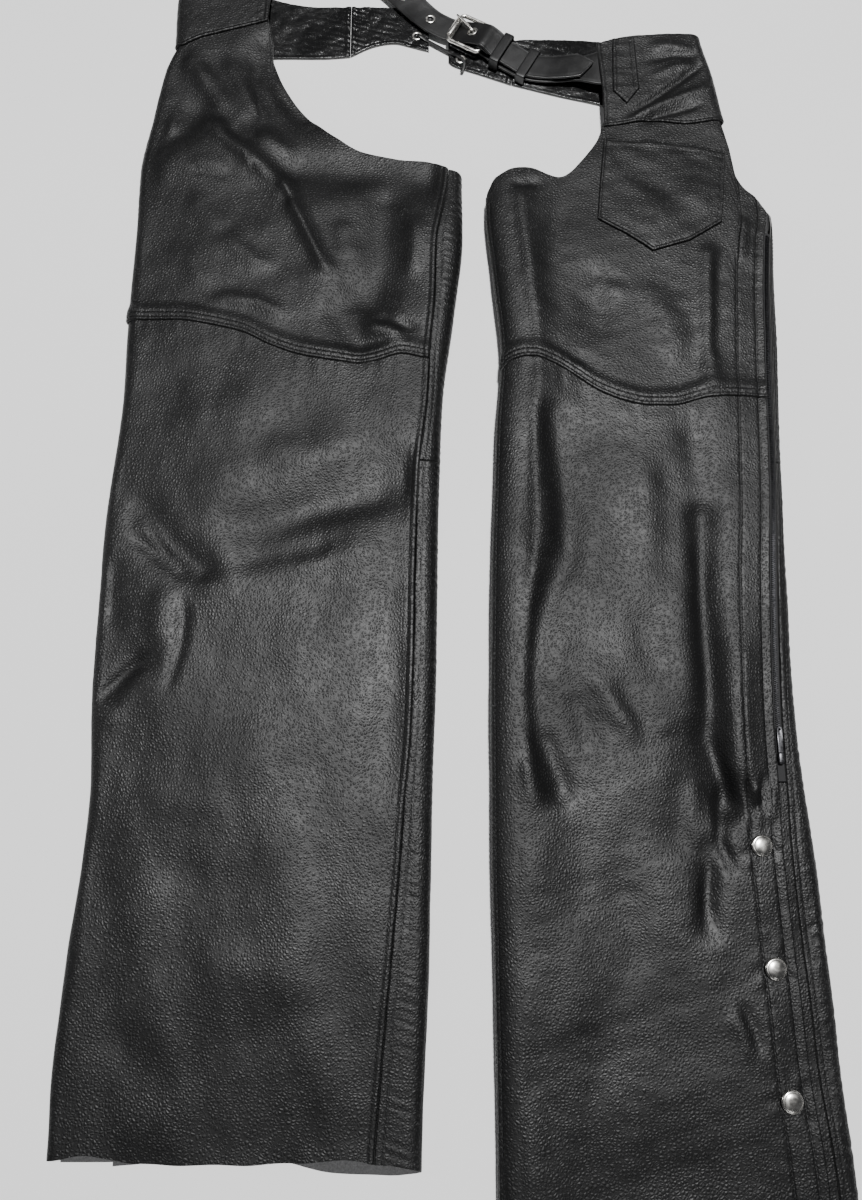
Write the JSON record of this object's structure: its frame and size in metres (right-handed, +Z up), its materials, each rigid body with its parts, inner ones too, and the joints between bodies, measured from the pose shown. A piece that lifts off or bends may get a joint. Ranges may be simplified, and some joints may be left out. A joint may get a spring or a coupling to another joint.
{
  "type": "leather chaps",
  "caption": "Black leather chaps laid out flat, with zipped and snapped side openings, hip yokes, a patch pocket, a buckled waist belt and a laced centre back.",
  "frame": {"origin": "middle of the outline on the surface that the chaps lie on", "axes": "+X viewer's right (the wearer's left leg), +Y from the hems to the waist, +Z up out of the front"},
  "size_m": [0.5505, 1.059, 0.0254],
  "materials": {
    "black_leather": "full-grain cowhide, pebbled, medium sheen",
    "strap_leather": "smooth strap leather, medium sheen",
    "zip_tape": "woven, matt",
    "nickel": "nickel plated, polished",
    "zip_metal": "blackened"
  },
  "bodies": {
    "root": {"right_thigh_front": "black_leather", "right_shin_front": "black_leather", "right_thigh_back": "black_leather", "right_shin_back": "black_leather", "right_zip_tape": "zip_tape", "right_zip_slider": "zip_metal", "right_snap_strip": "black_leather", "right_snap_1": "nickel", "right_snap_2": "nickel", "right_snap_3": "nickel", "right_front_yoke": "black_leather", "right_back_yoke": "black_leather", "right_back_band": "black_leather", "left_thigh_front": "black_leather", "left_shin_front": "black_leather", "left_thigh_back": "black_leather", "left_shin_back": "black_leather", "left_zip_tape": "zip_tape", "left_zip_slider": "zip_metal", "left_snap_strip": "black_leather", "left_snap_1": "nickel", "left_snap_2": "nickel", "left_snap_3": "nickel", "left_front_yoke": "black_leather", "left_back_yoke": "black_leather", "left_back_band": "black_leather", "left_belt_tab": "black_leather", "left_pocket": "black_leather", "back_lace": "strap_leather", "lace_end": "strap_leather", "belt_strap": "strap_leather", "belt_chape": "strap_leather", "belt_keeper_1": "strap_leather", "belt_keeper_2": "strap_leather", "buckle_frame": "nickel", "buckle_roller": "nickel", "buckle_prong": "nickel", "band_eyelet_1": "nickel", "band_eyelet_2": "nickel", "band_eyelet_3": "nickel", "band_eyelet_4": "nickel", "strap_eyelet_1": "nickel", "strap_eyelet_2": "nickel", "strap_eyelet_3": "nickel"}
  },
  "joints": []
}
